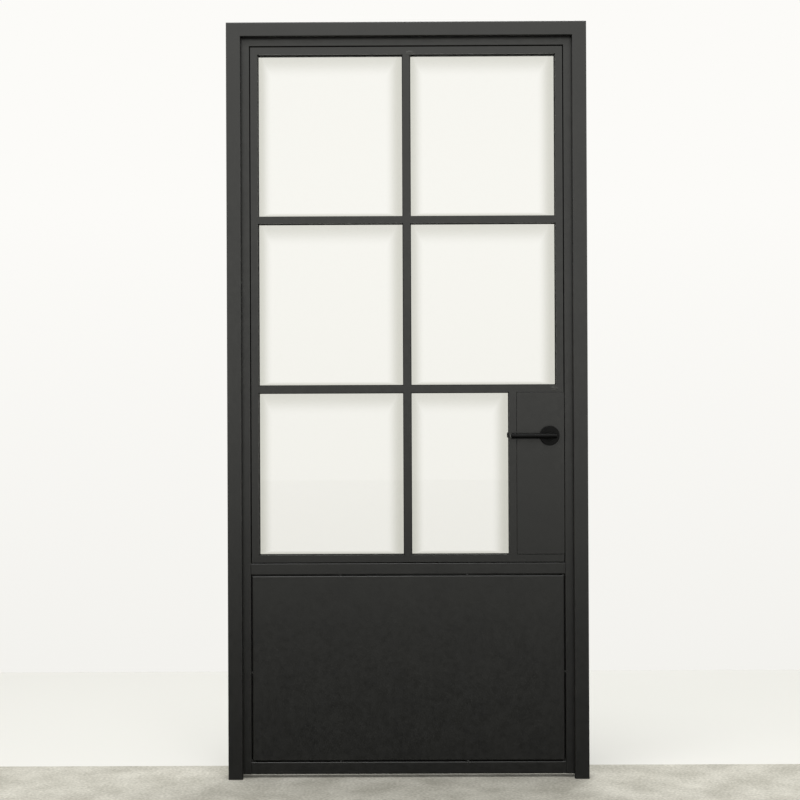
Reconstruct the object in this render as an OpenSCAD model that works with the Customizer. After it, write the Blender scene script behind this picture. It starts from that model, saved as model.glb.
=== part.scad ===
// Black steel door with a glazed lattice, in its own frame, sizes in millimetres.
// X runs from the hinge side to the latch side, Y from the front to the back, Z up from the floor.

/* [Overall] */
// overall width over the frame
door_w = 1000; // [900:10:1200]
// overall height over the frame
door_h = 2100; // [2000:10:2400]

/* [Frame] */
// width of the frame seen from the front
frame_face = 40; // [36:1:55]
// depth of the tube that forms the stop
stop_depth = 18; // [16:1:30]
// wall of the frame tubes
frame_wall = 2; // [1.5:0.5:3]
// outer corner radius of the frame tubes
frame_r = 3; // [2:0.5:4]
// thickness of the plate that closes each foot
foot_plate = 4; // [3:1:8]
// how far the stop covers the leaf
stop_cover = 7; // [6:0.5:10]
// gap between leaf and frame at the sides and top
leaf_gap = 6; // [5:0.5:8]
// gap under the leaf
floor_gap = 10; // [8:1:20]
// diameter of the wall fixing holes
fix_d = 9; // [7:0.5:12]
// height of the lowest fixing hole
fix_low = 250; // [200:10:350]
// distance of the highest fixing hole from the top
fix_high = 250; // [200:10:350]

/* [Leaf] */
// width of the stiles and of the top rail
stile_w = 30; // [28:1:45]
// height of the bottom rail
bottom_rail_h = 34; // [30:1:60]
// height of the rail between panel and lattice
mid_rail_h = 32; // [25:1:50]
// underside of the middle rail above the floor
mid_rail_z = 564.5; // [450:0.5:700]
// depth of the leaf
leaf_depth = 40; // [38:1:44]
// wall of the leaf tubes
leaf_wall = 2; // [1.5:0.5:3]
// outer corner radius of the leaf tubes
leaf_r = 2.5; // [2:0.5:4]

/* [Seal] */
// thickness of the rubber strip on the stop
seal_t = 1.6; // [1:0.2:3]
// width of the rubber strip
seal_w = 7; // [5:0.5:8]
// play between rubber strip and leaf
seal_play = 0.4; // [0.2:0.1:1]

/* [Lattice] */
// face width of the lattice bars
bar_w = 20; // [18:1:30]
// depth of the hollow front part of a bar
bar_depth = 14; // [12:1:16]
// wall of the lattice bars
bar_wall = 2; // [1.5:0.5:3]
// shadow groove between the lattice and the leaf tubes
groove = 2.5; // [1.5:0.5:5]
// thickness of the web that carries glass and beads
web = 5; // [4:0.5:6]
// distance from the back of the leaf to the back of the beads
bead_recess = 3; // [1:0.5:5]

/* [Glass and beads] */
// thickness of the glass
glass_t = 6; // [4:0.5:8]
// glazing tape on each side of the glass
tape = 0.5; // [0.3:0.1:0.8]
// play between glass edge and web
glass_play = 2; // [1:0.5:3]
// sheet thickness of the glazing beads
bead_t = 1.5; // [1:0.25:2]
// play between bead and web
bead_play = 0.2; // [0.1:0.1:0.5]

/* [Lock plate] */
// clear width from the leaf's latch edge to the lock side bar
lock_zone = 164; // [130:1:200]
// joint around the lock plates
lock_joint = 0.8; // [0.5:0.1:0.9]
// sheet thickness of the lock plates
lock_sheet = 2; // [1.5:0.5:3]
// depth of the folded edges of the lock plates
lock_fold = 13; // [8:1:17]
// bend radius of the lock plates
lock_r = 1; // [0.5:0.5:2]
// how far the closing strip reaches down behind the upper joint
strip_h = 8; // [4:1:15]
// play between the closing strip and the folded edges
strip_play = 0.5; // [0.3:0.1:0.8]

/* [Kick panel] */
// gap around the kick panel
panel_gap = 3; // [2:0.5:5]
// sheet thickness of the kick panel
panel_sheet = 1.5; // [1:0.5:3]
// gap between the two trays, back to back
tray_gap = 1; // [0.5:0.5:4]
// bend radius of the kick panel
panel_r = 3; // [2:0.5:5]
// length of each weld across the gap
weld_len = 8; // [6:1:14]
// depth of those welds
weld_deep = 3; // [2:0.5:6]

/* [Handle] */
// distance from the leaf's latch edge to the spindle
backset = 72; // [60:1:80]
// distance from the underside of the lower cross muntin to the spindle
spindle_drop = 121; // [60:1:200]
// side of the square spindle
spindle_a = 8; // [7:1:9]
// diameter of the rosettes
rosette_d = 55; // [48:1:58]
// thickness of the rosettes
rosette_t = 8; // [5:0.5:12]
// diameter of the lever bar
lever_d = 15; // [12:0.5:20]
// length of the lever from the spindle to its tip
lever_len = 112; // [95:1:130]
// length of the lever beyond the spindle
lever_tail = 15.5; // [13:0.5:18]
// distance from the leaf to the lever's centre line
lever_stand = 52; // [42:1:65]
// diameter of the lever's neck
neck_d = 17; // [14:0.5:20]
// diameter of the collar on the rosette
collar_d = 22; // [21:0.5:26]
// radial clearance of the turning pieces
turn_play = 0.08; // [0.04:0.01:0.1]

/* [Hinges] */
// diameter of the hinge barrels
barrel_d = 16; // [14:1:20]
// height of one hinge
hinge_h = 120; // [90:5:160]
// diameter of the hinge pins
pin_d = 9; // [7:0.5:10]
// centre of the lowest hinge above the floor
hinge_low = 230; // [180:10:300]
// centre of the highest hinge below the top
hinge_high = 230; // [180:10:300]
// width of the weld wing of a hinge
wing_w = 18; // [14:1:22]
// thickness of the weld wing
wing_t = 4; // [3:0.5:5]
// gap between the two halves of a hinge
knuckle_play = 0.6; // [0.4:0.1:0.9]

/* [Latch] */
// height of the latch front plate
forend_h = 235; // [180:5:260]
// width of the latch front plate
forend_w = 22; // [18:1:24]
// thickness of the latch front plate
forend_t = 3; // [2:0.5:4]
// height of the strike plate
strike_h = 190; // [140:5:230]
// play around inset plates
inset_play = 0.3; // [0.2:0.1:0.6]

/* [Hidden] */
$fn = 48;
big = 200;
// depth of the tube behind the stop, which the leaf shuts into
rebate_depth = leaf_depth + seal_t + seal_play;
front = -(stop_depth + rebate_depth) / 2;
back = front + stop_depth + rebate_depth;
stop_back = front + stop_depth;
leaf_back = back;
leaf_front = back - leaf_depth;
leaf_mid = (leaf_front + leaf_back) / 2;
jamb_w = frame_face - stop_cover - leaf_gap;
leaf_x0 = jamb_w + leaf_gap;
leaf_x1 = door_w - leaf_x0;
leaf_z0 = floor_gap;
leaf_z1 = door_h - leaf_x0;
in_x0 = leaf_x0 + stile_w;
in_x1 = leaf_x1 - stile_w;
mid_rail_top = mid_rail_z + mid_rail_h;
in_z1 = leaf_z1 - stile_w;
// outline of the lattice
lat_x0 = in_x0 + groove;
lat_x1 = in_x1 - groove;
lat_z0 = mid_rail_top + groove;
lat_z1 = in_z1 - groove;
cols = 2;
rows = 3;
pane_w = (lat_x1 - lat_x0 - (cols + 1) * bar_w) / cols;
pane_h = (lat_z1 - lat_z0 - (rows + 1) * bar_w) / rows;
function bar_x(i) = lat_x0 + i * (pane_w + bar_w);
function bar_z(j) = lat_z0 + j * (pane_h + bar_w);
// lock side bar and plates
lock_x0 = leaf_x1 - lock_zone;
side_bar_x = lock_x0 - bar_w;
lock_z0 = bar_z(0) + bar_w;
lock_z1 = bar_z(1);
// depth places of glass and beads
bar_back = leaf_front + bar_depth;
glass_y0 = bar_back + tape;
glass_y1 = glass_y0 + glass_t;
bead_y0 = glass_y1 + tape;
bead_y1 = leaf_back - bead_recess;
shoulder = (bar_w - web) / 2;
glass_cover = shoulder - glass_play;
bead_w = shoulder - bead_play;
// handle and latch
spindle_x = leaf_x1 - backset;
spindle_z = lock_z1 - spindle_drop;
latch_z = spindle_z + 15;
// hinges
axis_x = jamb_w + leaf_gap / 2;
axis_y = leaf_back + barrel_d / 2;
hinge_z = [hinge_low, (hinge_low + door_h - hinge_high) / 2, door_h - hinge_high];

// profiles and directions

module rounded(x0, y0, x1, y1, r) {
  translate([x0 + r, y0]) square([x1 - x0 - 2 * r, y1 - y0]);
  translate([x0, y0 + r]) square([x1 - x0, y1 - y0 - 2 * r]);
  for (x = [x0 + r, x1 - r], y = [y0 + r, y1 - r])
    translate([x, y]) circle(r);
}

module box2d(x0, y0, x1, y1) {
  translate([x0, y0]) square([x1 - x0, y1 - y0]);
}

module tube2d(x0, y0, x1, y1, r, t) {
  difference() {
    rounded(x0, y0, x1, y1, r);
    rounded(x0 + t, y0 + t, x1 - t, y1 - t, max(r - t, 0.4));
  }
}

// a profile drawn in Y and Z, run along X
module along_x(x0, x1) {
  translate([x0, 0, 0]) rotate([90, 0, 90]) linear_extrude(x1 - x0) children();
}

// a profile drawn in X and Z, run along Y
module along_y(y0, y1) {
  translate([0, y1, 0]) rotate([90, 0, 0]) linear_extrude(y1 - y0) children();
}

// a profile drawn in X and Y, run along Z
module along_z(z0, z1) {
  translate([0, 0, z0]) linear_extrude(z1 - z0) children();
}

module on_latch_side() {
  translate([door_w, 0, 0]) mirror([1, 0, 0]) children();
}

// the side of a mitre through the corner x, z that lies above the upright
module above_mitre(x, z) {
  along_y(-big, big) polygon([[x - big, z + big], [x + big, z - big], [x + big, z + big]]);
}

// the side of the same mitre that lies under the cross piece
module below_mitre(x, z) {
  along_y(-big, big) polygon([[x - big, z + big], [x + big, z - big], [x - big, z - big]]);
}

// frame: two tubes side by side, mitred at the head

module jamb_tube(x1, y0, y1) {
  difference() {
    along_z(0, door_h) rounded(0, y0, x1, y1, frame_r);
    along_z(foot_plate, door_h + 1)
      rounded(frame_wall, y0 + frame_wall, x1 - frame_wall, y1 - frame_wall, max(frame_r - frame_wall, 0.4));
    above_mitre(0, door_h);
  }
}

module head_tube(h, y0, y1) {
  difference() {
    along_x(0, door_w) tube2d(y0, door_h - h, y1, door_h, frame_r, frame_wall);
    below_mitre(0, door_h);
    on_latch_side() below_mitre(0, door_h);
  }
}

module fixing_holes() {
  for (z = [fix_low, (fix_low + door_h - fix_high) / 2, door_h - fix_high])
    translate([-1, (stop_back + back) / 2, z])
      rotate([0, 90, 0]) cylinder(d = fix_d, h = jamb_w + 2);
}

module hinge_jamb() {
  color("dimgray") difference() {
    jamb_tube(jamb_w, stop_back, back);
    fixing_holes();
  }
}

module hinge_jamb_stop() {
  color("gray") jamb_tube(frame_face, front, stop_back);
}

module latch_jamb() {
  color("dimgray") difference() {
    on_latch_side() difference() {
      jamb_tube(jamb_w, stop_back, back);
      fixing_holes();
    }
    strike_blank(inset_play, 1);
  }
}

module latch_jamb_stop() {
  color("gray") on_latch_side() jamb_tube(frame_face, front, stop_back);
}

module frame_head() {
  color("dimgray") head_tube(jamb_w, stop_back, back);
}

module frame_head_stop() {
  color("gray") head_tube(frame_face, front, stop_back);
}

// rubber strips on the stop

seal_edge = frame_face - (stop_cover - seal_w) / 2 - 0.5;

module side_seal() {
  along_z(0, door_h - seal_edge + seal_w)
    box2d(seal_edge - seal_w, stop_back, seal_edge, stop_back + seal_t);
}

module seal_hinge_side() {
  color("black") side_seal();
}

module seal_latch_side() {
  color("black") on_latch_side() side_seal();
}

module seal_head() {
  color("black") along_x(seal_edge + inset_play, door_w - seal_edge - inset_play)
    box2d(stop_back, door_h - seal_edge, stop_back + seal_t, door_h - seal_edge + seal_w);
}

// strike plate, inset in the latch jamb

module strike_blank(grow, deep) {
  x0 = door_w - jamb_w;
  translate([x0 - grow, leaf_mid - forend_w / 2 - 1 - grow, latch_z - strike_h / 2 - grow])
    cube([frame_wall + grow + deep, forend_w + 2 + 2 * grow, strike_h + 2 * grow]);
}

module strike_plate() {
  color("silver") difference() {
    strike_blank(0, 0);
    translate([door_w - jamb_w - 1, leaf_mid - 8, latch_z - 14]) cube([frame_wall + 2, 16, 28]);
  }
}

// hinges: pin and lower half on the frame, socket on the leaf

module barrel(z0, z1) {
  c = 1;
  translate([axis_x, axis_y, 0]) rotate_extrude() polygon([
    [0, z0], [barrel_d / 2 - c, z0], [barrel_d / 2, z0 + c],
    [barrel_d / 2, z1 - c], [barrel_d / 2 - c, z1], [0, z1]]);
}

module frame_hinge(z) {
  barrel(z - hinge_h / 2, z - knuckle_play / 2);
  translate([axis_x, axis_y, z - 10]) cylinder(d = pin_d, h = 10 + hinge_h / 2 - 14);
  along_z(z - hinge_h / 2 + 3, z - 4)
    box2d(axis_x - wing_w, leaf_back, axis_x, leaf_back + wing_t);
}

module leaf_hinge(z) {
  difference() {
    union() {
      barrel(z + knuckle_play / 2, z + hinge_h / 2);
      along_z(z + 4, z + hinge_h / 2 - 3)
        box2d(axis_x, leaf_back, axis_x + wing_w, leaf_back + wing_t);
    }
    translate([axis_x, axis_y, z - 1]) cylinder(d = pin_d + 2 * turn_play, h = hinge_h / 2 - 11);
  }
}

module frame_hinge_bottom() { color("dimgray") frame_hinge(hinge_z[0]); }
module frame_hinge_middle() { color("dimgray") frame_hinge(hinge_z[1]); }
module frame_hinge_top() { color("dimgray") frame_hinge(hinge_z[2]); }
module leaf_hinge_bottom() { color("slategray") leaf_hinge(hinge_z[0]); }
module leaf_hinge_middle() { color("slategray") leaf_hinge(hinge_z[1]); }
module leaf_hinge_top() { color("slategray") leaf_hinge(hinge_z[2]); }

// leaf tubes

module stile() {
  difference() {
    along_z(leaf_z0, leaf_z1) rounded(leaf_x0, leaf_front, in_x0, leaf_back, leaf_r);
    along_z(leaf_z0 + leaf_wall, leaf_z1 + 1)
      rounded(leaf_x0 + leaf_wall, leaf_front + leaf_wall, in_x0 - leaf_wall, leaf_back - leaf_wall,
        max(leaf_r - leaf_wall, 0.4));
    above_mitre(leaf_x0, leaf_z1);
  }
}

module hinge_stile() {
  color("steelblue") stile();
}

module latch_stile() {
  color("steelblue") difference() {
    on_latch_side() stile();
    forend_blank(inset_play, 1);
  }
}

module top_rail() {
  color("cadetblue") difference() {
    along_x(leaf_x0, leaf_x1) tube2d(leaf_front, in_z1, leaf_back, leaf_z1, leaf_r, leaf_wall);
    below_mitre(leaf_x0, leaf_z1);
    on_latch_side() below_mitre(leaf_x0, leaf_z1);
  }
}

module mid_rail() {
  color("cadetblue") along_x(in_x0, in_x1)
    tube2d(leaf_front, mid_rail_z, leaf_back, mid_rail_top, leaf_r, leaf_wall);
}

module bottom_rail() {
  color("cadetblue") along_x(in_x0, in_x1)
    tube2d(leaf_front, leaf_z0, leaf_back, leaf_z0 + bottom_rail_h, leaf_r, leaf_wall);
}

// lattice bars

// hollow bar with a web behind, drawn across the bar from 0 to bar_w and in depth
module muntin2d() {
  difference() {
    box2d(0, leaf_front, bar_w, bar_back);
    box2d(bar_wall, leaf_front + bar_wall, bar_w - bar_wall, bar_back - bar_wall);
  }
}

module web2d() {
  box2d(shoulder, bar_back, bar_w - shoulder, bead_y1);
}

// the tube behind an edge bar, from the leaf tube to the bead, which also closes the groove
module foot2d() {
  tube2d(-groove, bar_back, bar_w - shoulder, bead_y1, 0.8, bar_wall);
}

module swap() {
  mirror([1, -1, 0]) children();
}

module glazing_bar_left() {
  color("teal") {
    along_z(lat_z0, lat_z1) translate([lat_x0, 0]) muntin2d();
    along_z(mid_rail_top, in_z1) translate([lat_x0, 0]) foot2d();
  }
}

module glazing_bar_right() {
  color("teal") on_latch_side() {
    along_z(bar_z(1) + bar_w, lat_z1) translate([lat_x0, 0]) muntin2d();
    along_z(bar_z(1) + bar_w - shoulder, in_z1) translate([lat_x0, 0]) foot2d();
  }
}

module glazing_bar_top() {
  color("teal") {
    along_x(lat_x0 + bar_w, lat_x1 - bar_w) translate([0, lat_z1 - bar_w]) swap() muntin2d();
    along_x(lat_x0 + bar_w - shoulder, lat_x1 - bar_w + shoulder)
      translate([0, lat_z1]) mirror([0, 1]) swap() foot2d();
  }
}

module glazing_bar_bottom() {
  color("teal") {
    along_x(lat_x0 + bar_w, lat_x1) translate([0, lat_z0]) swap() muntin2d();
    along_x(lat_x0 + bar_w - shoulder, in_x1) translate([0, lat_z0]) swap() foot2d();
    lock_fill(lock_z0 - shoulder, lock_z0);
  }
}

// solid bar behind a lattice bar where the lock plates take the place of the beads
module lock_fill(z0, z1) {
  along_z(z0, z1) box2d(lock_x0, bar_back, in_x1, bead_y1);
}

// strip under the cross bar that closes the joint between the two lock plates
module lock_strip() {
  y0 = leaf_front + lock_fold + strip_play;
  y1 = leaf_back - lock_fold - strip_play;
  along_z(lock_z1 - strip_h, lock_z1 + shoulder) box2d(lock_x0, y0, in_x1, y1);
}

module centre_muntin() {
  color("mediumseagreen") translate([bar_x(1), 0]) {
    along_z(bar_z(0) + bar_w, bar_z(rows)) muntin2d();
    along_z(bar_z(0) + bar_w - shoulder, bar_z(rows) + shoulder) web2d();
  }
}

// one length of cross bar between two uprights, with the web run on to theirs
module cross_bar(x0, x1, z) {
  translate([0, 0, z]) {
    along_x(x0, x1) swap() muntin2d();
    along_x(x0 - shoulder, x1 + shoulder) swap() web2d();
  }
}

module upper_cross_muntin() {
  color("seagreen") {
    cross_bar(bar_x(0) + bar_w, bar_x(1), bar_z(2));
    cross_bar(bar_x(1) + bar_w, bar_x(2), bar_z(2));
  }
}

module lower_cross_muntin() {
  color("seagreen") {
    cross_bar(bar_x(0) + bar_w, bar_x(1), bar_z(1));
    translate([0, 0, bar_z(1)]) {
      along_x(bar_x(1) + bar_w, lat_x1) swap() muntin2d();
      along_x(bar_x(1) + bar_w - shoulder, in_x1) swap() web2d();
    }
    lock_fill(lock_z1, lock_z1 + shoulder);
    lock_strip();
  }
}

module lock_side_bar() {
  color("mediumseagreen") {
    along_z(lock_z0, lock_z1) translate([side_bar_x, 0]) muntin2d();
    along_z(lock_z0 - shoulder, lock_z1 + shoulder)
      box2d(lock_x0 - bar_w + shoulder, bar_back, lock_x0, bead_y1);
  }
}

// glass

// clear opening of a pane, with the lower right one stopping at the lock side bar
function pane_x0(i) = bar_x(i) + bar_w;
function pane_x1(i, j) = (i == 1 && j == 0) ? side_bar_x : bar_x(i + 1);
function pane_z0(j) = bar_z(j) + bar_w;

module pane(i, j) {
  along_y(glass_y0, glass_y1)
    box2d(pane_x0(i) - glass_cover, pane_z0(j) - glass_cover,
      pane_x1(i, j) + glass_cover, pane_z0(j) + pane_h + glass_cover);
}

module glass_top_left() { color("lightcyan") pane(0, 2); }
module glass_top_right() { color("lightcyan") pane(1, 2); }
module glass_middle_left() { color("lightcyan") pane(0, 1); }
module glass_middle_right() { color("lightcyan") pane(1, 1); }
module glass_bottom_left() { color("lightcyan") pane(0, 0); }
module glass_bottom_right() { color("lightcyan") pane(1, 0); }

// glazing beads: folded channels behind the glass

module bead2d() {
  difference() {
    box2d(0, bead_y0, bead_w, bead_y1);
    box2d(-1, bead_y0 + bead_t, bead_w - bead_t, bead_y1 - bead_t);
  }
}

module pane_beads(i, j) {
  x0 = pane_x0(i) - bead_w;
  x1 = pane_x1(i, j) + bead_w;
  z0 = pane_z0(j) - bead_w;
  z1 = pane_z0(j) + pane_h + bead_w;
  along_x(x0, x1) translate([0, z0]) swap() bead2d();
  along_x(x0, x1) translate([0, z1]) mirror([0, 1]) swap() bead2d();
  along_z(z0 + bead_w + bead_play, z1 - bead_w - bead_play) translate([x0, 0]) bead2d();
  along_z(z0 + bead_w + bead_play, z1 - bead_w - bead_play) translate([x1, 0]) mirror([1, 0]) bead2d();
}

module bead_row(j) {
  for (i = [0:cols - 1])
    pane_beads(i, j);
}

module beads_top_row() { color("darkslategray") bead_row(2); }
module beads_middle_row() { color("darkslategray") bead_row(1); }
module beads_bottom_row() { color("darkslategray") bead_row(0); }

// folded trays: a face with four bent edges

// a block rounded along the four edges of its front face
module soft_front(x0, x1, z0, z1, y0, y1, r) {
  intersection() {
    along_z(z0, z1) {
      rounded(x0, y0, x1, y1 + 2 * r, r);
    }
    along_x(x0, x1) {
      rounded(y0, z0, y1 + 2 * r, z1, r);
    }
    along_y(y0 - 1, y1) box2d(x0, z0, x1, z1);
  }
}

module tray(x0, x1, z0, z1, y0, deep, sheet, r) {
  difference() {
    soft_front(x0, x1, z0, z1, y0, y0 + deep, r);
    soft_front(x0 + sheet, x1 - sheet, z0 + sheet, z1 - sheet, y0 + sheet, y0 + deep + 1,
      max(r - sheet, 0.4));
  }
}

// turns a front piece round to the back of the leaf
module on_back() {
  translate([0, 2 * leaf_mid, 0]) mirror([0, 1, 0]) children();
}

module lock_plate() {
  difference() {
    tray(lock_x0 + lock_joint, in_x1 - lock_joint, lock_z0 + lock_joint, lock_z1 - lock_joint,
      leaf_front, lock_fold, lock_sheet, lock_r);
    translate([spindle_x, leaf_front - 1, spindle_z]) rotate([-90, 0, 0])
      cylinder(d = neck_d + 4, h = lock_fold);
  }
}

module lock_plate_front() { color("royalblue") lock_plate(); }
module lock_plate_back() { color("royalblue") on_back() lock_plate(); }

// kick panel: two trays back to back, joined to the leaf by short welds

panel_x0 = in_x0 + panel_gap;
panel_x1 = in_x1 - panel_gap;
panel_z0 = leaf_z0 + bottom_rail_h + panel_gap;
panel_z1 = mid_rail_z - panel_gap;
panel_w = panel_x1 - panel_x0;
panel_h = panel_z1 - panel_z0;
panel_fold = (leaf_depth - tray_gap) / 2;

// short fills across the gap: two above and below, one at each side and one in each lower corner
module weld_spots() {
  y0 = leaf_front + panel_r + 0.5;
  h = panel_gap + 1;
  for (k = [0.283, 0.69], z = [panel_z1 - 1, panel_z0 - panel_gap])
    translate([panel_x0 + k * panel_w - weld_len / 2, y0, z]) cube([weld_len, weld_deep, h]);
  for (x = [panel_x1 - 1, panel_x0 - panel_gap])
    translate([x, y0, panel_z0 + 0.476 * panel_h - weld_len / 2]) cube([h, weld_deep, weld_len]);
  for (x = [panel_x0 - panel_gap, panel_x1 + panel_gap - weld_len])
    translate([x, y0, panel_z0 - panel_gap]) cube([weld_len, weld_deep, weld_len]);
}

// the lip that each folded edge ends in, turned outwards to seat on the leaf tubes
module panel_lip() {
  y1 = leaf_front + panel_fold;
  along_y(y1 - panel_sheet, y1) difference() {
    box2d(in_x0, panel_z0 - panel_gap, in_x1, panel_z1 + panel_gap);
    box2d(panel_x0 + panel_sheet, panel_z0 + panel_sheet, panel_x1 - panel_sheet, panel_z1 - panel_sheet);
  }
}

module kick_panel() {
  union() {
    tray(panel_x0, panel_x1, panel_z0, panel_z1, leaf_front, panel_fold, panel_sheet, panel_r);
    panel_lip();
    weld_spots();
  }
}

module kick_panel_front() { color("cornflowerblue") kick_panel(); }
module kick_panel_back() { color("cornflowerblue") on_back() kick_panel(); }

// handle: turned pieces drawn from the leaf's face outwards

module at_front() {
  translate([spindle_x, leaf_front, spindle_z]) rotate([90, 0, 0]) children();
}

module at_back() {
  translate([spindle_x, leaf_back, spindle_z]) rotate([-90, 0, 0]) children();
}

module rosette() {
  r = rosette_d / 2;
  e = 1.5;
  rotate_extrude() difference() {
    union() {
      square([r, rosette_t - e]);
      square([r - e, rosette_t]);
      translate([r - e, rosette_t - e]) circle(e);
    }
    translate([-1, -1]) square([neck_d / 2 + 0.5 + turn_play + 1, rosette_t + 2]);
  }
}

module rosette_front() { color("dimgray") at_front() rosette(); }
module rosette_back() { color("dimgray") at_back() rosette(); }

// the lever's bar along X, with a fine turned groove near each end
module lever_bar() {
  e = 1.2;
  r = lever_d / 2;
  l = lever_len + lever_tail;
  rotate_extrude() difference() {
    intersection() {
      rounded(-r, 0, r, l, e);
      square([r, l]);
    }
    for (t = [4, l - 5])
      translate([r - 0.5, t]) square([1, 1]);
  }
}

module lever() {
  difference() {
    union() {
      translate([0, 0, -2]) cylinder(r = neck_d / 2 + 0.5, h = rosette_t + 3);
      translate([0, 0, rosette_t + 0.5]) cylinder(d = collar_d, h = 6);
      translate([0, 0, rosette_t]) cylinder(d = neck_d, h = lever_stand - rosette_t);
      translate([-lever_len, 0, lever_stand]) rotate([0, 90, 0]) lever_bar();
    }
    translate([0, 0, 8]) cube([spindle_a + 0.2, spindle_a + 0.2, 30], center = true);
  }
}

module lever_front() { color("darkgray") at_front() lever(); }
module lever_back() { color("darkgray") at_back() lever(); }

module spindle() {
  color("silver") translate([spindle_x, leaf_mid, spindle_z])
    cube([spindle_a, leaf_depth + 2 * 22, spindle_a], center = true);
}

// latch

module forend_blank(grow, deep) {
  translate([leaf_x1 - forend_t - deep, leaf_mid - forend_w / 2 - grow, latch_z - forend_h / 2 - grow])
    cube([forend_t + deep + grow, forend_w + 2 * grow, forend_h + 2 * grow]);
}

module lock_forend() {
  color("silver") difference() {
    forend_blank(0, 0);
    translate([leaf_x1 - forend_t - 1, leaf_mid - 6.5, latch_z - 10.5]) cube([forend_t + 2, 13, 21]);
  }
}

module latch_bolt() {
  color("silver") translate([leaf_x1 - 20, leaf_mid - 6, latch_z - 10]) cube([20.5, 12, 20]);
}

hinge_jamb();
hinge_jamb_stop();
latch_jamb();
latch_jamb_stop();
frame_head();
frame_head_stop();
seal_hinge_side();
seal_latch_side();
seal_head();
strike_plate();
frame_hinge_bottom();
frame_hinge_middle();
frame_hinge_top();
leaf_hinge_bottom();
leaf_hinge_middle();
leaf_hinge_top();
hinge_stile();
latch_stile();
top_rail();
mid_rail();
bottom_rail();
glazing_bar_left();
glazing_bar_right();
glazing_bar_top();
glazing_bar_bottom();
centre_muntin();
upper_cross_muntin();
lower_cross_muntin();
lock_side_bar();
glass_top_left();
glass_top_right();
glass_middle_left();
glass_middle_right();
glass_bottom_left();
glass_bottom_right();
beads_top_row();
beads_middle_row();
beads_bottom_row();
lock_plate_front();
lock_plate_back();
kick_panel_front();
kick_panel_back();
rosette_front();
rosette_back();
lock_forend();
latch_bolt();
lever_front();
lever_back();
spindle();
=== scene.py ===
"""Glazed black steel door in its frame, dressed for a studio picture.

Sizes are in metres unless a name says mm.
"""
import math
import bpy
from mathutils import Matrix, Vector


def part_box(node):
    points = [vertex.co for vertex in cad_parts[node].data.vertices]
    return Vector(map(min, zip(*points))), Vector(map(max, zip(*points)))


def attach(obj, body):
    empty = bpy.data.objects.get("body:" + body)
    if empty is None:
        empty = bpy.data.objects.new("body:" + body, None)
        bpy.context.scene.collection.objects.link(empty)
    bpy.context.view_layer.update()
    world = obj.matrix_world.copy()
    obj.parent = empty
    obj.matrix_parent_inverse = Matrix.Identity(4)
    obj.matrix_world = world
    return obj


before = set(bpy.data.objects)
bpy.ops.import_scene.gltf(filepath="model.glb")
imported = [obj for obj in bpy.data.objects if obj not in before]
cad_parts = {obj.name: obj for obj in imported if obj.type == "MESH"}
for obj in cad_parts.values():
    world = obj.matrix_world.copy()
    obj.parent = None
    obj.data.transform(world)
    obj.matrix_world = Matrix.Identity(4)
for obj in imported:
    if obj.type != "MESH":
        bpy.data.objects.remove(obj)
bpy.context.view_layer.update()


# THE VIEWPOINT
# A camera four metres in front of the door, at the height of a standing person's chest. It is level
# but for a fraction of a degree each way, as a picture taken on a tripod is.

bpy.context.scene.view_settings.view_transform = "Standard"
eye = Vector((0.4954, -4.030, 1.0357))
turn, tip, lean = math.radians(0.228), math.radians(0.208), math.radians(-0.240)
camera_data = bpy.data.cameras.new("camera")
camera_data.lens = 64.98
camera_data.sensor_width = 36.0
camera_data.clip_end = 60.0
camera = bpy.data.objects.new("camera", camera_data)
bpy.context.scene.collection.objects.link(camera)
camera.matrix_world = (Matrix.Translation(eye) @ Matrix.Rotation(turn, 4, "Z")
                       @ Matrix.Rotation(math.pi / 2 + tip, 4, "X") @ Matrix.Rotation(lean, 4, "Z"))
bpy.context.scene.camera = camera


# THE FRAME
# Two steel tubes side by side on three sides, mitred and welded at the top corners, the welds
# ground flush. Sprayed with black polyester powder and baked: a matt skin with a fine sandy grain.

MM = 0.001
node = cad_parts


def linear(code):
    """An sRGB hex colour as linear RGBA."""
    parts = [int(code[i:i + 2], 16) / 255 for i in (1, 3, 5)]
    return (*[p / 12.92 if p <= 0.04045 else ((p + 0.055) / 1.055) ** 2.4 for p in parts], 1.0)


def add(tree, kind, inputs=None, **settings):
    """Adds a shader node, sets it, and fills its inputs with values or other nodes' outputs."""
    made = tree.nodes.new(kind)
    for key, value in settings.items():
        setattr(made, key, value)
    for key, value in (inputs or {}).items():
        if isinstance(value, bpy.types.NodeSocket):
            tree.links.new(value, made.inputs[key])
        else:
            made.inputs[key].default_value = value
    return made


def new_material(name):
    """An empty material, its tree, its output and the piece's own coordinates."""
    made = bpy.data.materials.new(name)
    made.use_nodes = True
    tree = made.node_tree
    tree.nodes.clear()
    out = add(tree, "ShaderNodeOutputMaterial")
    return made, tree, out, add(tree, "ShaderNodeTexCoord").outputs["Object"]


def noise(tree, place, size_mm, detail):
    """Cloudy noise whose patches are about this wide."""
    made = add(tree, "ShaderNodeTexNoise", {
        "Vector": place, "Scale": 1 / (size_mm * MM), "Detail": detail})
    return made.outputs["Fac"]


def ramp(tree, fac, stops):
    """A colour ramp with (position, colour) stops."""
    made = add(tree, "ShaderNodeValToRGB", {"Fac": fac})
    while len(made.color_ramp.elements) < len(stops):
        made.color_ramp.elements.new(0.5)
    for element, (at, colour) in zip(made.color_ramp.elements, stops):
        element.position = at
        element.color = colour
    return made.outputs["Color"]


def span(tree, value, low, high, to_low, to_high, kind="LINEAR"):
    """A value moved from one span to another."""
    made = add(tree, "ShaderNodeMapRange", {
        "Value": value, "From Min": low, "From Max": high, "To Min": to_low, "To Max": to_high},
        interpolation_type=kind)
    return made.outputs["Result"]


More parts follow.
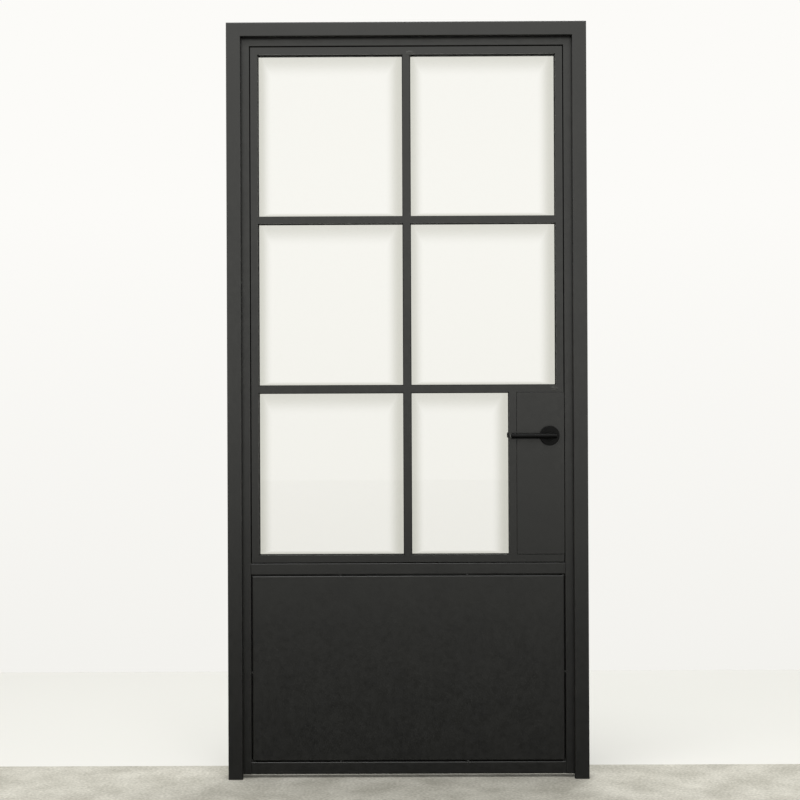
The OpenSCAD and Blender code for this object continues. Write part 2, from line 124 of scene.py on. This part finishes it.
def powder_coat(name, dark, light, rough, level, grain_mm, grain_height_mm):
    """Sprayed and baked powder: two close blacks in clouds and specks, uneven gloss, fine grain."""
    cloud_mm, dust_mm = 90.0, 15.0
    made, tree, out, place = new_material(name)
    # the clouds come from uneven film thickness and from handling
    cloud = noise(tree, place, cloud_mm, 4.0)
    # real grains are about 0.5 mm wide and would vanish at this size, so they are drawn coarser
    grain = noise(tree, place, grain_mm, 2.0)
    both = add(tree, "ShaderNodeMath", {0: cloud, 1: grain}, operation="ADD").outputs[0]
    tone = ramp(tree, span(tree, both, 0.7, 1.3, 0.0, 1.0), [
        (0.0, linear(dark)), (1.0, linear(light))])
    # wiped dust dulls the gloss in patches
    shine = span(tree, noise(tree, place, dust_mm, 3.0), 0.3, 0.7, rough - 0.04, rough + 0.06)
    bump = add(tree, "ShaderNodeBump", {
        "Height": grain, "Strength": 0.6, "Distance": grain_height_mm * MM})
    skin = add(tree, "ShaderNodeBsdfPrincipled", {
        "Base Color": tone, "Roughness": shine, "Specular IOR Level": level,
        "Normal": bump.outputs["Normal"]})
    tree.links.new(skin.outputs["BSDF"], out.inputs["Surface"])
    return made


def dress(material, *names):
    """Gives CAD nodes their material."""
    for name in names:
        node[name].data.materials.clear()
        node[name].data.materials.append(material)


coat = powder_coat("black_powder_coat", "#121211", "#191917", rough=0.32, level=0.62, grain_mm=3.0,
                   grain_height_mm=0.12)
dress(coat, "hinge_jamb", "hinge_jamb_stop", "latch_jamb", "latch_jamb_stop", "frame_head",
      "frame_head_stop")


# THE RUBBER STRIPS
# Solid black EPDM rubber strips that the leaf shuts against. They are extruded, cut to length and
# glued to the back of the frame's stop, on three sides.

BLOOM_MM = 20.0
rubber, tree, out, place = new_material("black_epdm_rubber")
# a greyish bloom in patches
tone = ramp(tree, noise(tree, place, BLOOM_MM, 5.0), [
    (0.35, linear("#121212")), (0.75, linear("#202020"))])
skin = add(tree, "ShaderNodeBsdfPrincipled", {"Base Color": tone, "Roughness": 0.82})
tree.links.new(skin.outputs["BSDF"], out.inputs["Surface"])
dress(rubber, "seal_hinge_side", "seal_latch_side", "seal_head")


# THE HINGES
# Weld-on lift-off hinges of turned steel, coated with the frame: the lower barrel and pin on the
# jamb, the socket on the leaf. A thin brass washer lies between, and each wing's edge is welded on
# with a rippled bead.

def deselect():
    """Leaves nothing selected before a new piece is made."""
    bpy.ops.object.select_all(action="DESELECT")


def pick_up(piece):
    """Leaves only this piece selected and active."""
    deselect()
    piece.select_set(True)
    bpy.context.view_layer.objects.active = piece


def settle(piece, name, material, body):
    """Puts a finished piece's place into its mesh, names it, and makes it ride on its body."""
    pick_up(piece)
    bpy.ops.object.transform_apply(location=True, rotation=True, scale=True)
    piece.name = piece.data.name = name
    piece.data.materials.clear()
    piece.data.materials.append(material)
    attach(piece, body)


def join(pieces):
    """Makes one object of several like pieces."""
    deselect()
    for piece in pieces:
        piece.select_set(True)
    bpy.context.view_layer.objects.active = pieces[0]
    bpy.ops.object.join()
    return pieces[0]


def soften(piece, width, segments=2, angle=35.0):
    """Rounds a piece's sharp edges with an applied bevel and shades it smooth between them."""
    pick_up(piece)
    bevel = piece.modifiers.new("edge", "BEVEL")
    bevel.width = width
    bevel.segments = segments
    bevel.limit_method = "ANGLE"
    bevel.angle_limit = math.radians(angle)
    bpy.ops.object.modifier_apply(modifier="edge")
    bpy.ops.object.shade_smooth_by_angle(angle=math.radians(angle))
    return piece


def ring(centre, inner, outer, thick):
    """A flat washer with its axis upright."""
    deselect()
    bpy.ops.mesh.primitive_cylinder_add(vertices=48, radius=outer, depth=thick, location=centre)
    washer = bpy.context.object
    bpy.ops.object.mode_set(mode="EDIT")
    bpy.ops.mesh.select_mode(type="FACE")
    bpy.ops.mesh.select_all(action="DESELECT")
    bpy.ops.object.mode_set(mode="OBJECT")
    for face in washer.data.polygons:
        face.select = abs(face.normal.z) > 0.9
    bpy.ops.object.mode_set(mode="EDIT")
    bpy.ops.mesh.inset(thickness=outer - inner, use_individual=True)
    bpy.ops.mesh.bridge_edge_loops()
    bpy.ops.mesh.select_all(action="SELECT")
    bpy.ops.mesh.normals_make_consistent(inside=False)
    bpy.ops.object.mode_set(mode="OBJECT")
    return washer


def weld_bead(start, end, radius, pitch):
    """A row of overlapping drops of uneven size, as a hand weld leaves them."""
    drops = []
    count = max(2, round((end - start).length / pitch))
    for k in range(count):
        deselect()
        size = radius * (1 + 0.12 * math.sin(2.3 * k) + 0.08 * math.sin(5.1 * k + 1))
        place = start.lerp(end, (k + 0.5) / count)
        bpy.ops.mesh.primitive_ico_sphere_add(subdivisions=2, radius=size, location=place)
        drops.append(bpy.context.object)
        bpy.ops.object.shade_smooth()
    return join(drops)


# the weld is left as laid under the coat, which comes out a little duller and less even on it than
# on the tubes
weld_coat = powder_coat("black_coat_over_weld", "#111110", "#1B1B1A", rough=0.36, level=0.45,
                        grain_mm=2.0, grain_height_mm=0.1)

TURNING_MM = 1.0
brass, tree, out, place = new_material("turned_brass")
# turning marks and a little tarnish
tone = ramp(tree, noise(tree, place, TURNING_MM, 2.0), [
    (0.3, linear("#9A7B3C")), (0.7, linear("#C9A65A"))])
skin = add(tree, "ShaderNodeBsdfPrincipled", {
    "Base Color": tone, "Metallic": 1.0, "Roughness": 0.34})
tree.links.new(skin.outputs["BSDF"], out.inputs["Surface"])

WASHER_THICK = 0.45 * MM
WASHER_BORE_R = 4.7 * MM
WASHER_STEP = 0.4 * MM      # from the barrel's edge in to the washer's
WASHER_DROP = 0.3 * MM      # from the leaf's half down to the washer's middle
WASHER_EDGE = 0.08 * MM     # the rounding of its edges
BEAD_RADIUS = 1.6 * MM
BEAD_PITCH = 2.2 * MM
BEAD_BACK = 1.2 * MM        # from the wing's face back to the bead's middle
BEAD_SUNK = 0.4 * MM        # from the wing's edge in to the bead's middle
BEAD_END = 5 * MM           # left unwelded at a hinge's outer ends
BEAD_SPLIT = 6 * MM         # left unwelded at the split between its halves
for level in ("bottom", "middle", "top"):
    low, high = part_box("frame_hinge_" + level)
    leaf_low, leaf_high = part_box("leaf_hinge_" + level)
    dress(coat, "frame_hinge_" + level, "leaf_hinge_" + level)
    barrel_r = (high.y - low.y) / 2
    middle = Vector((high.x - barrel_r, (low.y + high.y) / 2, leaf_low.z - WASHER_DROP))
    washer = ring(middle, WASHER_BORE_R, barrel_r - WASHER_STEP, WASHER_THICK)
    soften(washer, WASHER_EDGE)
    settle(washer, "hinge_washer_" + level, brass, "frame")
    bead_y = low.y + BEAD_BACK
    for half, edge_x, bead_low, bead_high in (
            ("frame", low.x + BEAD_SUNK, low.z + BEAD_END, leaf_low.z - BEAD_SPLIT),
            ("leaf", leaf_high.x - BEAD_SUNK, leaf_low.z + BEAD_SPLIT, leaf_high.z - BEAD_END)):
        bead = weld_bead(Vector((edge_x, bead_y, bead_low)), Vector((edge_x, bead_y, bead_high)),
                         BEAD_RADIUS, BEAD_PITCH)
        settle(bead, "hinge_weld_" + half + "_" + level, weld_coat, half)


# THE LEAF
# Rectangular steel tubes, mitred at the top corners and butted elsewhere. They are welded, the
# welds are ground flush, and the whole is coated as the frame is.

dress(coat, "hinge_stile", "latch_stile", "top_rail", "mid_rail", "bottom_rail")


# THE LATTICE
# Small hollow steel bars with a web behind, welded into a grid that is set a shadow line inside the
# leaf. The welds are ground flush, and two of them still show the grinder's marks through the coat.

dress(coat, "glazing_bar_left", "glazing_bar_right", "glazing_bar_top", "glazing_bar_bottom",
      "centre_muntin", "upper_cross_muntin", "lower_cross_muntin", "lock_side_bar")

ground_coat, tree, out, place = new_material("black_coat_over_ground_weld")
# the grinder's marks slant, 1.6 mm apart and some 12 mm long
slant = add(tree, "ShaderNodeMapping", {"Vector": place, "Rotation": (0.0, math.radians(38), 0.0),
                                        "Scale": (80.0, 80.0, 620.0)}).outputs["Vector"]
marks = add(tree, "ShaderNodeTexNoise", {
    "Vector": slant, "Scale": 1.0, "Detail": 3.0}).outputs["Fac"]
tone = ramp(tree, marks, [(0.4, linear("#121211")), (0.62, linear("#3F3F3C"))])
bump = add(tree, "ShaderNodeBump", {"Height": marks, "Strength": 0.8, "Distance": 0.5 * MM})
skin = add(tree, "ShaderNodeBsdfPrincipled", {
    "Base Color": tone, "Roughness": 0.3, "Normal": bump.outputs["Normal"]})
tree.links.new(skin.outputs["BSDF"], out.inputs["Surface"])

WELD_PROUD = 0.6 * MM       # half the patch's thickness
WELD_SUNK = 0.1 * MM        # from the bar's face back to the patch's middle
WELD_UNEVEN = 0.1 * MM      # how much the grinding leaves it uneven


def ground_weld(x, z, wide, high, face, seed):
    """A low, uneven patch of dressed weld on a joint's face."""
    deselect()
    bpy.ops.mesh.primitive_ico_sphere_add(subdivisions=5, radius=1.0,
                                          location=(x, face + WELD_SUNK, z))
    patch = bpy.context.object
    patch.scale = (wide / 2, WELD_PROUD, high / 2)
    bpy.ops.object.transform_apply(location=False, rotation=False, scale=True)
    bpy.ops.object.mode_set(mode="EDIT")
    bpy.ops.mesh.select_all(action="SELECT")
    bpy.ops.transform.vertex_random(offset=WELD_UNEVEN, uniform=0.0, normal=1.0, seed=seed)
    bpy.ops.mesh.vertices_smooth(factor=0.5, repeat=2)
    bpy.ops.object.mode_set(mode="OBJECT")
    bpy.ops.object.shade_smooth()
    return patch


RIGHT_WELD_WIDE, RIGHT_WELD_HIGH, RIGHT_WELD_SEED = 19 * MM, 17 * MM, 3
TOP_WELD_WIDE, TOP_WELD_HIGH, TOP_WELD_SEED = 20 * MM, 13 * MM, 5
WELD_IN = 5 * MM            # from a joint's edge in to the patch's middle
bar_low, bar_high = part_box("lower_cross_muntin")
muntin_low, muntin_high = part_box("centre_muntin")
bar_width = muntin_high.x - muntin_low.x
settle(ground_weld(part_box("glazing_bar_right")[0].x - WELD_IN, bar_high.z - bar_width / 2,
                   RIGHT_WELD_WIDE, RIGHT_WELD_HIGH, bar_low.y, RIGHT_WELD_SEED),
       "ground_weld_lower_right", ground_coat, "leaf")
settle(ground_weld(muntin_high.x, muntin_high.z - WELD_IN, TOP_WELD_WIDE, TOP_WELD_HIGH,
                   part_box("glazing_bar_top")[0].y, TOP_WELD_SEED),
       "ground_weld_top", ground_coat, "leaf")


# THE GLASS
# Clear 6 mm float glass, set on glazing tape. A narrow line of black silicone shows round each pane
# on both sides. Each pane's colour is painted greyer towards the bars, most of all at the sides:
# painted shadow of the bars, as if they shaded a wall close behind the glass.

COVER = 5.5 * MM            # how far the bars lap over a pane's sides
PAINTED_SHADOW_TOP, PAINTED_SHADOW_TOP_SHARE = 68 * MM, 0.8         # the painted shadow's reach down, and its strength there
PAINTED_SHADOW_LEFT = 42 * MM
PAINTED_SHADOW_RIGHT, PAINTED_SHADOW_RIGHT_FULL = 54 * MM, 4 * MM   # from the edge: where it starts and is full
PAINTED_SHADOW_BOTTOM = 14 * MM
WAVE_MM, WAVE_HEIGHT = 150.0, 0.1 * MM
HAZE_MM = 40.0


def float_glass(name, low, high):
    """Clear glass for a pane whose clear opening has these corners, with painted shadow greying it
    towards them.
    """
    made, tree, out, place = new_material(name)
    # roller wave: float glass bends reflections slightly
    wavy = add(tree, "ShaderNodeBump", {
        "Height": noise(tree, place, WAVE_MM, 1.0), "Strength": 0.25,
        "Distance": WAVE_HEIGHT}).outputs["Normal"]
    # a wiped haze that is only just there
    dull = span(tree, noise(tree, place, HAZE_MM, 5.0), 0.45, 0.8, 0.0, 0.03)
    # painted shadow of the bars: the pane's colour turns greyer towards its top, sides and bottom
    at = add(tree, "ShaderNodeSeparateXYZ", {"Vector": place})
    painted_bar_shadow = span(tree, at.outputs["Z"], high.z - PAINTED_SHADOW_TOP, high.z, 0.0, PAINTED_SHADOW_TOP_SHARE,
                "SMOOTHERSTEP")
    for axis, start, end in (("X", low.x + PAINTED_SHADOW_LEFT, low.x),
                             ("X", high.x - PAINTED_SHADOW_RIGHT, high.x - PAINTED_SHADOW_RIGHT_FULL),
                             ("Z", low.z + PAINTED_SHADOW_BOTTOM, low.z)):
        side = span(tree, at.outputs[axis], start, end, 0.0, 1.0, "SMOOTHERSTEP")
        painted_bar_shadow = add(tree, "ShaderNodeMath", {0: painted_bar_shadow, 1: side}, operation="MAXIMUM").outputs[0]
    tint_and_painted_shadow = ramp(tree, painted_bar_shadow, [(0.0, linear("#F9F9F6")), (1.0, linear("#D5D5CE"))])
    body = add(tree, "ShaderNodeBsdfPrincipled", {
        "Base Color": tint_and_painted_shadow, "Roughness": dull, "IOR": 1.5, "Transmission Weight": 1.0,
        "Normal": wavy})
    clear = add(tree, "ShaderNodeBsdfTransparent", {"Color": linear("#F4F8F6")})
    ray = add(tree, "ShaderNodeLightPath")
    # light passes the pane straight, so the floor behind the door isn't darkened by it
    either = add(tree, "ShaderNodeMath", {
        0: ray.outputs["Is Shadow Ray"], 1: ray.outputs["Is Diffuse Ray"]}, operation="MAXIMUM")
    mix = add(tree, "ShaderNodeMixShader", {
        0: either.outputs[0], 1: body.outputs["BSDF"], 2: clear.outputs["BSDF"]})
    tree.links.new(mix.outputs["Shader"], out.inputs["Surface"])
    return made


TOOLING_MM = 12.0
silicone, tree, out, place = new_material("black_silicone")
# tooled by a finger: long soft waves of gloss
shine = span(tree, noise(tree, place, TOOLING_MM, 2.0), 0.0, 1.0, 0.35, 0.6)
skin = add(tree, "ShaderNodeBsdfPrincipled", {"Base Color": linear("#0F0F0F"), "Roughness": shine})
tree.links.new(skin.outputs["BSDF"], out.inputs["Surface"])

SEAL_WIDTH = 2.0 * MM
SEAL_HEIGHT = 1.6 * MM
SEAL_ROUND = 0.6 * MM


def seal_line(low, high, y, outward):
    """A ring of sealant round a pane, its outer edge on the bars, standing off the glass at y."""
    deselect()
    middle = ((low.x + high.x) / 2, y, (low.z + high.z) / 2)
    bpy.ops.mesh.primitive_plane_add(size=1.0, location=middle, rotation=(math.pi / 2, 0, 0))
    line = bpy.context.object
    line.scale = (high.x - low.x, high.z - low.z, 1)
    bpy.ops.object.transform_apply(location=False, rotation=True, scale=True)
    bpy.ops.object.mode_set(mode="EDIT")
    bpy.ops.mesh.select_all(action="SELECT")
    bpy.ops.mesh.inset(thickness=SEAL_WIDTH)
    bpy.ops.mesh.delete(type="FACE")
    bpy.ops.mesh.select_all(action="SELECT")
    bpy.ops.mesh.extrude_region_move(
        TRANSFORM_OT_translate={"value": (0, outward * SEAL_HEIGHT, 0)})
    bpy.ops.mesh.select_all(action="SELECT")
    bpy.ops.mesh.normals_make_consistent(inside=False)
    bpy.ops.object.mode_set(mode="OBJECT")
    return soften(line, SEAL_ROUND, 3, 60.0)


for row in ("top", "middle", "bottom"):
    for side in ("left", "right"):
        pane = row + "_" + side
        low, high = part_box("glass_" + pane)
        inner_low, inner_high = low + Vector((COVER, 0, COVER)), high - Vector((COVER, 0, COVER))
        dress(float_glass("clear_float_glass_" + pane, inner_low, inner_high), "glass_" + pane)
        settle(seal_line(inner_low, inner_high, low.y, -1), "glazing_seal_front_" + pane,
               silicone, "leaf")
        settle(seal_line(inner_low, inner_high, high.y, 1), "glazing_seal_back_" + pane,
               silicone, "leaf")


# THE GLAZING BEADS
# Folded steel channels that hold the glass from behind, four to a pane. They are pressed onto the
# webs of the lattice and coated with the leaf.

dress(coat, "beads_top_row", "beads_middle_row", "beads_bottom_row")


# THE LOCK PLATES
# Folded steel covers over the lock case, one in front and one at the back. Each is welded in with a
# hairline joint round it and coated with the leaf.

dress(coat, "lock_plate_front", "lock_plate_back")


# THE KICK PANEL
# Two folded steel trays, back to back, coated with the leaf. They are held in a shadow gap by short
# welds that are dressed level with the face, and the upper corner on the latch side is filled on
# the slant.

dress(coat, "kick_panel_front", "kick_panel_back")

GAP = 3.0 * MM              # the shadow gap round the trays
FILL_LONG, FILL_DEEP, FILL_WIDE = 4.6 * MM, 2.2 * MM, 2.6 * MM
ACROSS = (0.283, 0.69)      # where the welds above and below stand, as shares of the panel's width
UP = 0.476                  # how high the welds at the sides stand, as a share of its height
CORNER_IN = 4.5 * MM        # from the trays' corner in to the slanted weld
panel_low, panel_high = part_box("kick_panel_front")
clear_w = panel_high.x - panel_low.x - 2 * GAP
clear_h = panel_high.z - panel_low.z - 2 * GAP
side_z = panel_low.z + GAP + UP * clear_h
places = []
for share in ACROSS:
    x = panel_low.x + GAP + share * clear_w
    places += [(x, panel_high.z - GAP / 2, 0), (x, panel_low.z + GAP / 2, 0)]
places += [(panel_low.x + GAP / 2, side_z, 90), (panel_high.x - GAP / 2, side_z, 90),
           (panel_high.x - CORNER_IN, panel_high.z - CORNER_IN, 45)]
for side, face, inward in (("front", panel_low.y, 1), ("back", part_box("kick_panel_back")[1].y, -1)):
    blobs = []
    for x, z, slope in places:
        deselect()
        bpy.ops.mesh.primitive_uv_sphere_add(segments=24, ring_count=16, radius=1.0,
                                             location=(x, face + inward * FILL_DEEP, z))
        blob = bpy.context.object
        blob.scale = (FILL_LONG, FILL_DEEP, FILL_WIDE)
        blob.rotation_euler = (0.0, math.radians(slope), 0.0)
        bpy.ops.object.shade_smooth()
        blobs.append(blob)
    settle(join(blobs), "dressed_weld_" + side, weld_coat, "leaf")


# THE HANDLE
# Levers and rosettes of die-cast zinc alloy, black coated, blacker and finer in grain than the
# door. A steel grub screw under each neck clamps the lever to its square spindle.

handle_black = powder_coat("black_coated_zinc_alloy", "#060606", "#0B0B0B", rough=0.36, level=0.15,
                           grain_mm=2.0, grain_height_mm=0.02)
dress(handle_black, "lever_front", "lever_back", "rosette_front", "rosette_back")

plated, tree, out, place = new_material("zinc_plated_steel")
# drawn steel: grain runs up and down, 0.5 mm wide and 40 mm long
grain_place = add(tree, "ShaderNodeMapping", {"Vector": place, "Scale": (2000.0, 2000.0, 25.0)})
grain = add(tree, "ShaderNodeTexNoise", {"Vector": grain_place.outputs["Vector"], "Scale": 1.0,
                                         "Detail": 3.0}).outputs["Fac"]
tone = ramp(tree, grain, [(0.3, linear("#8E9093")), (0.7, linear("#B4B6B8"))])
shine = span(tree, grain, 0.0, 1.0, 0.28, 0.44)
skin = add(tree, "ShaderNodeBsdfPrincipled", {
    "Base Color": tone, "Metallic": 1.0, "Roughness": shine})
tree.links.new(skin.outputs["BSDF"], out.inputs["Surface"])
dress(plated, "spindle", "strike_plate", "lock_forend", "latch_bolt")

SCREW_EDGE = 0.12 * MM      # the rounding of a screw's edges


def socket_screw(at, outward, radius, depth, socket):
    """A screw with a hexagon socket, its head's face at the place and looking outward."""
    facing = outward.to_track_quat("Z", "Y").to_euler()
    deselect()
    bpy.ops.mesh.primitive_cylinder_add(vertices=32, radius=radius, depth=depth,
                                        location=at - outward * depth / 2, rotation=facing)
    screw = bpy.context.object
    deselect()
    bpy.ops.mesh.primitive_cylinder_add(vertices=6, radius=socket, depth=depth,
                                        location=at, rotation=facing)
    cutter = bpy.context.object
    pick_up(screw)
    cut = screw.modifiers.new("socket", "BOOLEAN")
    cut.operation = "DIFFERENCE"
    cut.object = cutter
    bpy.ops.object.modifier_apply(modifier="socket")
    bpy.data.objects.remove(cutter)
    return soften(screw, SCREW_EDGE, 2, 30.0)


GRUB_R, GRUB_DEEP, GRUB_SOCKET = 2.4 * MM, 3 * MM, 1.3 * MM
GRUB_OUT = 3.6 * MM         # from the rosette's face out to the screw's middle
GRUB_BELOW = 11.05 * MM     # from the spindle's middle down to the screw's face
spindle_low, spindle_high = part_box("spindle")
centre = (spindle_low + spindle_high) / 2
for side, face, way in (("front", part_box("rosette_front")[0].y, -1),
                        ("back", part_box("rosette_back")[1].y, 1)):
    under = Vector((centre.x, face + way * GRUB_OUT, centre.z - GRUB_BELOW))
    settle(socket_screw(under, Vector((0, 0, -1)), GRUB_R, GRUB_DEEP, GRUB_SOCKET),
           "grub_screw_" + side, plated, "handle")


# THE LATCH
# A zinc-plated front plate in the leaf's edge with its latch bolt, and the strike plate in the
# jamb, each held by two countersunk screws with a hexagon socket.

PLATE_SCREW_R, PLATE_SCREW_DEEP, PLATE_SCREW_SOCKET = 3.9 * MM, 1.6 * MM, 1.9 * MM
PLATE_SCREW_PROUD = 0.15 * MM       # how far a head stands out of its plate
FOREND_INSET, STRIKE_INSET = 12 * MM, 13 * MM


def plate_screws(plate, face_x, outward, inset, name, body):
    """Two screws near the ends of an upright plate."""
    low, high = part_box(plate)
    middle = (low.y + high.y) / 2
    made = [socket_screw(Vector((face_x, middle, z)), outward, PLATE_SCREW_R, PLATE_SCREW_DEEP,
                         PLATE_SCREW_SOCKET)
            for z in (low.z + inset, high.z - inset)]
    settle(join(made), name, plated, body)


plate_screws("lock_forend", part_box("lock_forend")[1].x + PLATE_SCREW_PROUD, Vector((1, 0, 0)),
             FOREND_INSET, "forend_screws", "leaf")
plate_screws("strike_plate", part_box("strike_plate")[0].x - PLATE_SCREW_PROUD, Vector((-1, 0, 0)),
             STRIKE_INSET, "strike_screws", "frame")


# THE STUDIO
# A cement floor that ends in a line behind the door, with plain pale floor beyond it, and a white
# wall well back. Soft light comes from all round above eye level, and from a soft box over the
# front and one over the back.

FLOOR_LINE = 0.126
FLOOR_LINE_SOFT = 4 * MM
FLOOR_RADIUS = 16.0
# where the cement starts to fade out, and where it is gone
FLOOR_FADES = (("Y", -0.5, -2.0), ("X", -1.3, -2.8), ("X", 2.3, 3.8))
CEMENT_CLOUD_MM, CEMENT_SPECK_MM = 120.0, 8.0
MIRROR_NEAR, MIRROR_FAR = 2.0, 14.0
floor_paint, tree, out, place = new_material("pale_cement_floor")
cloud = noise(tree, place, CEMENT_CLOUD_MM, 6.0)
speck = noise(tree, place, CEMENT_SPECK_MM, 4.0)
both = add(tree, "ShaderNodeMath", {0: cloud, 1: speck}, operation="ADD").outputs[0]
cement = ramp(tree, span(tree, both, 0.75, 1.3, 0.0, 1.0), [
    (0.0, linear("#A8A59A")), (1.0, linear("#D6D3C9"))])
# the cement ends in a line behind the door and fades out softly in front and to the sides
at = add(tree, "ShaderNodeSeparateXYZ", {"Vector": place})
plain = span(tree, at.outputs["Y"], FLOOR_LINE, FLOOR_LINE + FLOOR_LINE_SOFT, 0.0, 1.0)
for axis, start, end in FLOOR_FADES:
    edge = span(tree, at.outputs[axis], start, end, 0.0, 1.0, "SMOOTHSTEP")
    plain = add(tree, "ShaderNodeMath", {0: plain, 1: edge}, operation="MAXIMUM").outputs[0]
tone = add(tree, "ShaderNodeMix", {"Factor": plain, 6: cement, 7: linear("#E4E3DF")},
           data_type="RGBA")
# reflections see the floor near the door as a dark one, which keeps the foot of the door black
away = add(tree, "ShaderNodeVectorMath", {0: place}, operation="LENGTH").outputs["Value"]
mirrored = ramp(tree, span(tree, away, MIRROR_NEAR, MIRROR_FAR, 0.0, 1.0), [
    (0.0, linear("#3C3B39")), (0.5, linear("#B0AFAA")), (1.0, linear("#F0EFEB"))])
ray = add(tree, "ShaderNodeLightPath")
# a ray that rough glass lets through counts as glossy too, and is taken out again
bounced = add(tree, "ShaderNodeMath", {
    0: ray.outputs["Is Glossy Ray"], 1: ray.outputs["Is Transmission Ray"]},
    operation="SUBTRACT", use_clamp=True).outputs[0]
tone = add(tree, "ShaderNodeMix", {"Factor": bounced, 6: tone.outputs[2], 7: mirrored},
           data_type="RGBA")
skin = add(tree, "ShaderNodeBsdfPrincipled", {
    "Base Color": tone.outputs[2], "Roughness": 0.8, "Specular IOR Level": 0.2})
tree.links.new(skin.outputs["BSDF"], out.inputs["Surface"])
deselect()
bpy.ops.mesh.primitive_circle_add(vertices=96, radius=FLOOR_RADIUS, location=(0.0, 0.0, 0.0),
                                  fill_type="NGON")
floor = bpy.context.object
floor.name = "floor"
floor.data.materials.append(floor_paint)

WALL_MIDDLE, WALL_WIDE, WALL_HIGH = (0.5, 1.6, 4.0), 12.0, 8.0
WALL_SHADE_TOP = 1.8        # below this height the wall darkens a little towards the floor
wall_paint, tree, out, place = new_material("white_studio_wall")
# the wall glows plain white for the camera, also through glass, and gives the door no light. From
# behind it isn't there
ray = add(tree, "ShaderNodeLightPath")
seen = add(tree, "ShaderNodeMath", {
    0: ray.outputs["Is Camera Ray"], 1: ray.outputs["Is Transmission Ray"]}, operation="MAXIMUM")
turned = add(tree, "ShaderNodeNewGeometry").outputs["Backfacing"]
shown = add(tree, "ShaderNodeMath", {0: seen.outputs[0], 1: turned}, operation="SUBTRACT",
            use_clamp=True)
height = add(tree, "ShaderNodeSeparateXYZ", {"Vector": place}).outputs["Z"]
white = ramp(tree, span(tree, height, 0.0, WALL_SHADE_TOP, 0.0, 1.0), [
    (0.0, linear("#F3F2EE")), (1.0, linear("#FCFBF8"))])
glow = add(tree, "ShaderNodeEmission", {"Color": white, "Strength": 1.0})
gone = add(tree, "ShaderNodeBsdfTransparent")
mix = add(tree, "ShaderNodeMixShader", {
    0: shown.outputs[0], 1: gone.outputs["BSDF"], 2: glow.outputs["Emission"]})
tree.links.new(mix.outputs["Shader"], out.inputs["Surface"])
deselect()
bpy.ops.mesh.primitive_plane_add(size=1.0, location=WALL_MIDDLE, rotation=(math.pi / 2, 0, 0))
wall = bpy.context.object
wall.scale = (WALL_WIDE, WALL_HIGH, 1.0)
bpy.ops.object.transform_apply(location=True, rotation=True, scale=True)
wall.name = "wall"
wall.data.materials.append(wall_paint)

WINDOW_LIGHT = 1.25
world = bpy.data.worlds.new("studio_air")
bpy.context.scene.world = world
world.use_nodes = True
tree = world.node_tree
tree.nodes.clear()
out = add(tree, "ShaderNodeOutputWorld")
looking = add(tree, "ShaderNodeTexCoord").outputs["Generated"]
height = add(tree, "ShaderNodeSeparateXYZ", {"Vector": looking}).outputs["Z"]
# a band of tall windows from eye level up, and a dimmer white ceiling overhead
sky = ramp(tree, height, [
    (0.0, (0.9, 0.9, 0.86, 1)), (0.06, (1.0, 1.0, 0.95, 1)), (0.30, (1.0, 1.0, 0.95, 1)),
    (0.55, (0.6, 0.6, 0.58, 1)), (1.0, (0.55, 0.55, 0.54, 1))])
lit = add(tree, "ShaderNodeBackground", {"Color": sky, "Strength": WINDOW_LIGHT})
plain = add(tree, "ShaderNodeBackground", {"Color": linear("#F9F8F4"), "Strength": 1.0})
ray = add(tree, "ShaderNodeLightPath")
seen = add(tree, "ShaderNodeMath", {
    0: ray.outputs["Is Camera Ray"], 1: ray.outputs["Is Transmission Ray"]}, operation="MAXIMUM")
mix = add(tree, "ShaderNodeMixShader", {0: seen.outputs[0], 1: lit.outputs[0], 2: plain.outputs[0]})
tree.links.new(mix.outputs["Shader"], out.inputs["Surface"])

LAMP_WIDE, LAMP_HIGH, LAMP_WATTS = 2.4, 1.2, 50.0


def soft_lamp(name, at, aim):
    """A rectangular soft box that looks at a point."""
    data = bpy.data.lights.new(name, "AREA")
    data.shape = "RECTANGLE"
    data.size = LAMP_WIDE
    data.size_y = LAMP_HIGH
    data.energy = LAMP_WATTS
    lamp = bpy.data.objects.new(name, data)
    lamp.location = at
    lamp.rotation_euler = (Vector(aim) - Vector(at)).to_track_quat("-Z", "Y").to_euler()
    bpy.context.scene.collection.objects.link(lamp)


soft_lamp("over_front", at=(0.0, -1.7, 4.1), aim=(0.45, 0.0, 1.6))
soft_lamp("over_back", at=(1.2, 1.9, 4.1), aim=(0.5, 0.0, 1.6))
